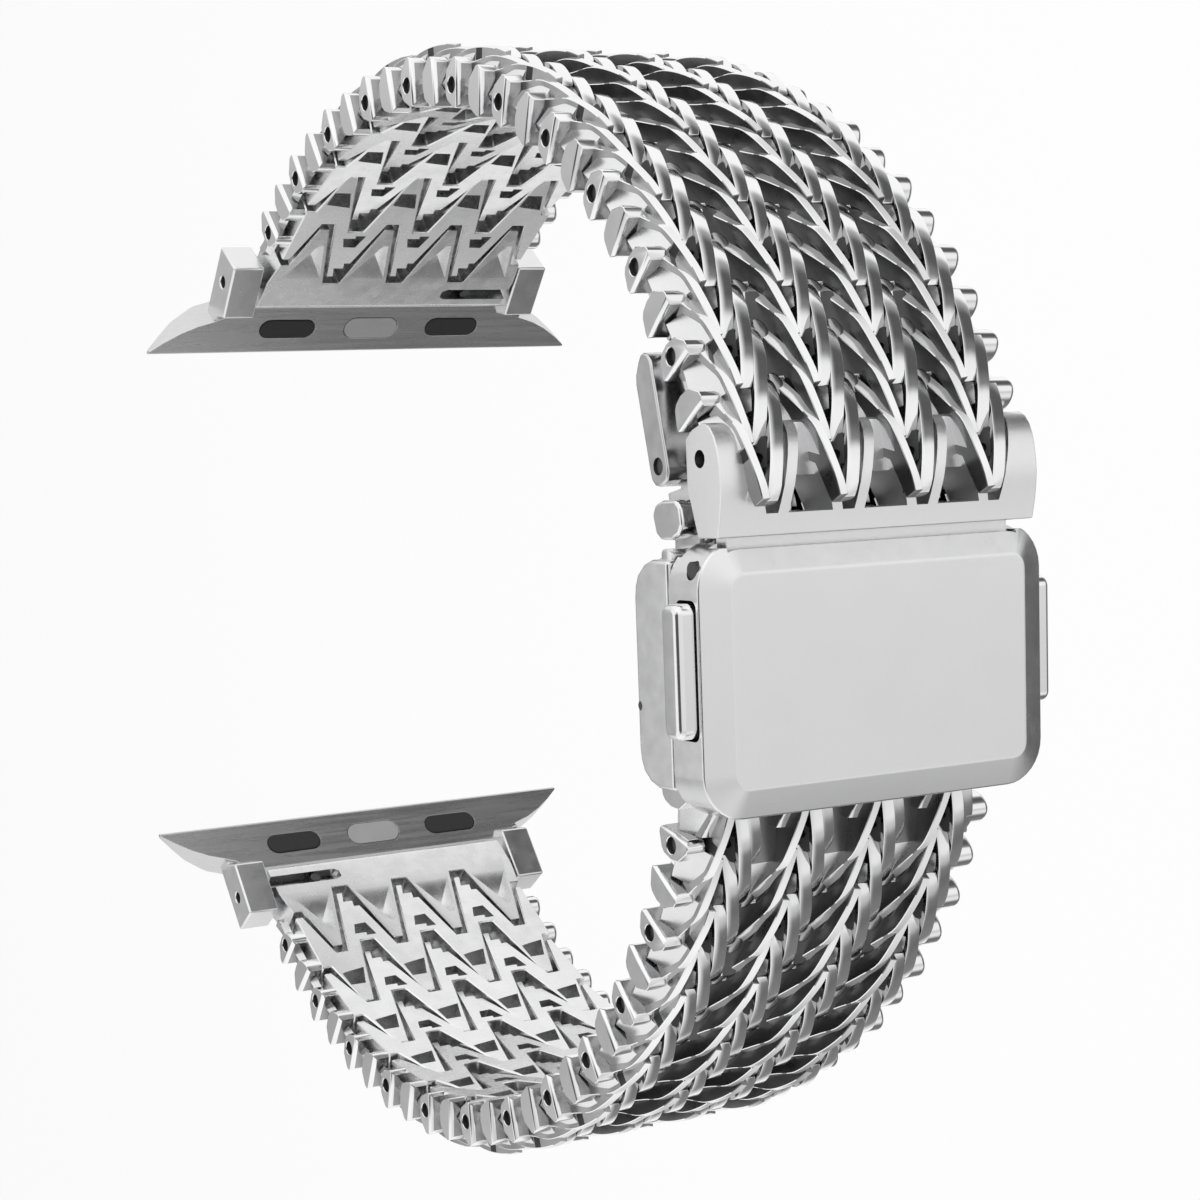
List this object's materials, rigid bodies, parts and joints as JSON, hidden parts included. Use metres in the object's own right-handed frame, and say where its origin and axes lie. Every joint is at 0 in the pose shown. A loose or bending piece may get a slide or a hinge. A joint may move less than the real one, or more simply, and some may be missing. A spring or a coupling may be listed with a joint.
{
  "type": "chevron link watch band",
  "caption": "Interlocking chevron link watch band with slide in watch adapters, spring bars and a magnetic clasp with side release buttons.",
  "frame": {"origin": "centre of the bounding box of the worn, closed band", "axes": "+X out of the clasp cover, +Y from the lower half of the band to the upper half, +Z along the link hinges towards the edge whose pin ends show"},
  "size_m": [0.0724, 0.0731, 0.035],
  "materials": {
    "link_steel": "polished",
    "clasp_steel": "satin",
    "adapter_steel": "satin",
    "pin_steel": "plain",
    "latch_metal": "satin",
    "magnet": "plated",
    "pad_rubber": "matte"
  },
  "bodies": {
    "clasp_base": {"base": "clasp_steel", "lock_pin": "pin_steel", "lower_link_13": "link_steel"},
    "clasp_cover": {"cover": "clasp_steel", "cover_magnet": "magnet", "cover_hinge_pin": "pin_steel", "button_spring_near": "pin_steel", "button_spring_far": "pin_steel"},
    "button_near": {"button_near": "clasp_steel"},
    "button_far": {"button_far": "clasp_steel"},
    "length_lock": {"lock_flap": "clasp_steel"},
    "fork": {"fork": "link_steel"},
    "upper_end": {"upper_end_link": "link_steel", "upper_spring_bar": "pin_steel"},
    "upper_knob": {"upper_release_knob": "pin_steel"},
    "upper_adapter": {"upper_adapter": "adapter_steel", "upper_adapter_pads": "pad_rubber"},
    "upper_latch": {"upper_adapter_latch": "latch_metal"},
    "lower_end": {"lower_end_link": "link_steel", "lower_spring_bar": "pin_steel"},
    "lower_knob": {"lower_release_knob": "pin_steel"},
    "lower_adapter": {"lower_adapter": "adapter_steel", "lower_adapter_pads": "pad_rubber"},
    "lower_latch": {"lower_adapter_latch": "latch_metal"},
    "tail_link": {"tail_link": "link_steel"},
    "tail_plate": {"tail_plate": "clasp_steel"},
    "upper_link_01": {"upper_link_01": "link_steel"},
    "upper_link_02": {"upper_link_02": "link_steel"},
    "upper_link_03": {"upper_link_03": "link_steel"},
    "upper_link_04": {"upper_link_04": "link_steel"},
    "upper_link_05": {"upper_link_05": "link_steel"},
    "upper_link_06": {"upper_link_06": "link_steel"},
    "upper_link_07": {"upper_link_07": "link_steel"},
    "upper_link_08": {"upper_link_08": "link_steel"},
    "upper_link_09": {"upper_link_09": "link_steel"},
    "upper_link_10": {"upper_link_10": "link_steel"},
    "upper_link_11": {"upper_link_11": "link_steel"},
    "lower_link_01": {"lower_link_01": "link_steel"},
    "lower_link_02": {"lower_link_02": "link_steel"},
    "lower_link_03": {"lower_link_03": "link_steel"},
    "lower_link_04": {"lower_link_04": "link_steel"},
    "lower_link_05": {"lower_link_05": "link_steel"},
    "lower_link_06": {"lower_link_06": "link_steel"},
    "lower_link_07": {"lower_link_07": "link_steel"},
    "lower_link_08": {"lower_link_08": "link_steel"},
    "lower_link_09": {"lower_link_09": "link_steel"},
    "lower_link_10": {"lower_link_10": "link_steel"},
    "lower_link_11": {"lower_link_11": "link_steel"},
    "lower_link_12": {"lower_link_12": "link_steel"},
    "lower_link_14": {"lower_link_14": "link_steel"}
  },
  "joints": [
    {"name": "cover_lift", "type": "slide", "parent": "clasp_base", "child": "clasp_cover", "axis": [1, 0, 0], "range_m": [0, 0.008]},
    {"name": "button_near_press", "type": "slide", "parent": "clasp_cover", "child": "button_near", "axis": [0, 0, -1], "range_m": [0, 0.0007], "stiffness_N_per_m": 600, "springref_m": -0.001, "deforming": ["button_spring_near"]},
    {"name": "button_far_press", "type": "slide", "parent": "clasp_cover", "child": "button_far", "axis": [0, 0, 1], "range_m": [0, 0.0007], "stiffness_N_per_m": 600, "springref_m": -0.001, "deforming": ["button_spring_far"]},
    {"name": "length_lock_turn", "type": "hinge", "parent": "clasp_base", "child": "length_lock", "pos_m": [0.02849, -0.00331, 0], "axis": [0, 0, 1], "range_deg": [0, 75]},
    {"name": "fork_turn", "type": "hinge", "parent": "clasp_cover", "child": "fork", "pos_m": [0.0342, 0.00449, 0], "axis": [0, 0, 1], "range_deg": [-5, 2.3]},
    {"name": "upper_hinge_12", "type": "hinge", "parent": "fork", "child": "upper_link_11", "pos_m": [0.03409, 0.01049, 0], "axis": [0, 0, 1], "range_deg": [-20, 2]},
    {"name": "upper_hinge_11", "type": "hinge", "parent": "upper_link_11", "child": "upper_link_10", "pos_m": [0.03146, 0.01605, 0], "axis": [0, 0, -1], "range_deg": [-14.3, 10.7]},
    {"name": "upper_hinge_10", "type": "hinge", "parent": "upper_link_10", "child": "upper_link_09", "pos_m": [0.02793, 0.02109, 0], "axis": [0, 0, 1], "range_deg": [-10.7, 14.3]},
    {"name": "upper_hinge_09", "type": "hinge", "parent": "upper_link_09", "child": "upper_link_08", "pos_m": [0.02361, 0.02546, 0], "axis": [0, 0, -1], "range_deg": [-14.3, 10.7]},
    {"name": "upper_hinge_08", "type": "hinge", "parent": "upper_link_08", "child": "upper_link_07", "pos_m": [0.01861, 0.02904, 0], "axis": [0, 0, 1], "range_deg": [-10.7, 14.3]},
    {"name": "upper_hinge_07", "type": "hinge", "parent": "upper_link_07", "child": "upper_link_06", "pos_m": [0.01307, 0.03173, 0], "axis": [0, 0, -1], "range_deg": [-14.3, 10.7]},
    {"name": "upper_hinge_06", "type": "hinge", "parent": "upper_link_06", "child": "upper_link_05", "pos_m": [0.00717, 0.03344, 0], "axis": [0, 0, 1], "range_deg": [-10.7, 14.3]},
    {"name": "upper_hinge_05", "type": "hinge", "parent": "upper_link_05", "child": "upper_link_04", "pos_m": [0.00106, 0.03414, 0], "axis": [0, 0, -1], "range_deg": [-14.3, 10.7]},
    {"name": "upper_hinge_04", "type": "hinge", "parent": "upper_link_04", "child": "upper_link_03", "pos_m": [-0.00508, 0.03379, 0], "axis": [0, 0, 1], "range_deg": [-10.7, 14.3]},
    {"name": "upper_hinge_03", "type": "hinge", "parent": "upper_link_03", "child": "upper_link_02", "pos_m": [-0.01108, 0.03242, 0], "axis": [0, 0, -1], "range_deg": [-14.3, 10.7]},
    {"name": "upper_hinge_02", "type": "hinge", "parent": "upper_link_02", "child": "upper_link_01", "pos_m": [-0.01675, 0.03006, 0], "axis": [0, 0, 1], "range_deg": [-10.7, 14.3]},
    {"name": "upper_hinge_01", "type": "hinge", "parent": "upper_link_01", "child": "upper_end", "pos_m": [-0.02195, 0.02677, 0], "axis": [0, 0, -1], "range_deg": [-18, 2]},
    {"name": "upper_adapter_turn", "type": "hinge", "parent": "upper_end", "child": "upper_adapter", "pos_m": [-0.02632, 0.0236, 0], "axis": [0, 0, 1], "range_deg": [-30, 30]},
    {"name": "upper_knob_slide", "type": "slide", "parent": "upper_end", "child": "upper_knob", "axis": [0, 0, 1], "range_m": [0, 0.0012], "stiffness_N_per_m": 300, "springref_m": -0.001},
    {"name": "upper_latch_press", "type": "slide", "parent": "upper_adapter", "child": "upper_latch", "axis": [-0.788, 0.6157, 0], "range_m": [0, 0.0005], "stiffness_N_per_m": 400, "springref_m": -0.001},
    {"name": "lower_hinge_13", "type": "hinge", "parent": "clasp_base", "child": "lower_link_12", "pos_m": [0.03044, -0.00521, 0], "axis": [0, 0, 1], "range_deg": [-3, 6]},
    {"name": "lower_hinge_12", "type": "hinge", "parent": "lower_link_12", "child": "lower_link_11", "pos_m": [0.0298, -0.01133, 0], "axis": [0, 0, -1], "range_deg": [-21.4, 3.6]},
    {"name": "lower_hinge_11", "type": "hinge", "parent": "lower_link_11", "child": "lower_link_10", "pos_m": [0.02707, -0.01683, 0], "axis": [0, 0, 1], "range_deg": [-14.2, 10.8]},
    {"name": "lower_hinge_10", "type": "hinge", "parent": "lower_link_10", "child": "lower_link_09", "pos_m": [0.02344, -0.0218, 0], "axis": [0, 0, -1], "range_deg": [-10.8, 14.2]},
    {"name": "lower_hinge_09", "type": "hinge", "parent": "lower_link_09", "child": "lower_link_08", "pos_m": [0.01901, -0.02607, 0], "axis": [0, 0, 1], "range_deg": [-14.2, 10.8]},
    {"name": "lower_hinge_08", "type": "hinge", "parent": "lower_link_08", "child": "lower_link_07", "pos_m": [0.01392, -0.02953, 0], "axis": [0, 0, -1], "range_deg": [-10.8, 14.2]},
    {"name": "lower_hinge_07", "type": "hinge", "parent": "lower_link_07", "child": "lower_link_06", "pos_m": [0.00832, -0.03207, 0], "axis": [0, 0, 1], "range_deg": [-14.2, 10.8]},
    {"name": "lower_hinge_06", "type": "hinge", "parent": "lower_link_06", "child": "lower_link_05", "pos_m": [0.00237, -0.03362, 0], "axis": [0, 0, -1], "range_deg": [-10.8, 14.2]},
    {"name": "lower_hinge_05", "type": "hinge", "parent": "lower_link_05", "child": "lower_link_04", "pos_m": [-0.00376, -0.03413, 0], "axis": [0, 0, 1], "range_deg": [-14.2, 10.8]},
    {"name": "lower_hinge_04", "type": "hinge", "parent": "lower_link_04", "child": "lower_link_03", "pos_m": [-0.00988, -0.0336, 0], "axis": [0, 0, -1], "range_deg": [-10.8, 14.2]},
    {"name": "lower_hinge_03", "type": "hinge", "parent": "lower_link_03", "child": "lower_link_02", "pos_m": [-0.01583, -0.03202, 0], "axis": [0, 0, 1], "range_deg": [-14.2, 10.8]},
    {"name": "lower_hinge_02", "type": "hinge", "parent": "lower_link_02", "child": "lower_link_01", "pos_m": [-0.02142, -0.02946, 0], "axis": [0, 0, -1], "range_deg": [-10.8, 14.2]},
    {"name": "lower_hinge_01", "type": "hinge", "parent": "lower_link_01", "child": "lower_end", "pos_m": [-0.0265, -0.02599, 0], "axis": [0, 0, 1], "range_deg": [-18, 2]},
    {"name": "lower_adapter_turn", "type": "hinge", "parent": "lower_end", "child": "lower_adapter", "pos_m": [-0.03075, -0.02267, 0], "axis": [0, 0, -1], "range_deg": [-30, 30]},
    {"name": "lower_knob_slide", "type": "slide", "parent": "lower_end", "child": "lower_knob", "axis": [0, 0, -1], "range_m": [0, 0.0012], "stiffness_N_per_m": 300, "springref_m": -0.001},
    {"name": "lower_latch_press", "type": "slide", "parent": "lower_adapter", "child": "lower_latch", "axis": [-0.809, -0.5878, 0], "range_m": [0, 0.0005], "stiffness_N_per_m": 400, "springref_m": -0.001},
    {"name": "tail_hinge_14", "type": "hinge", "parent": "clasp_base", "child": "lower_link_14", "pos_m": [0.03044, 0.00094, 0], "axis": [0, 0, 1], "range_deg": [-2, 4]},
    {"name": "tail_hinge_15", "type": "hinge", "parent": "lower_link_14", "child": "tail_link", "pos_m": [0.03044, 0.00709, 0], "axis": [0, 0, 1], "range_deg": [-4, 12]},
    {"name": "tail_plate_turn", "type": "hinge", "parent": "tail_link", "child": "tail_plate", "pos_m": [0.02981, 0.0101, 0], "axis": [0, 0, 1], "range_deg": [-5, 40]}
  ]
}
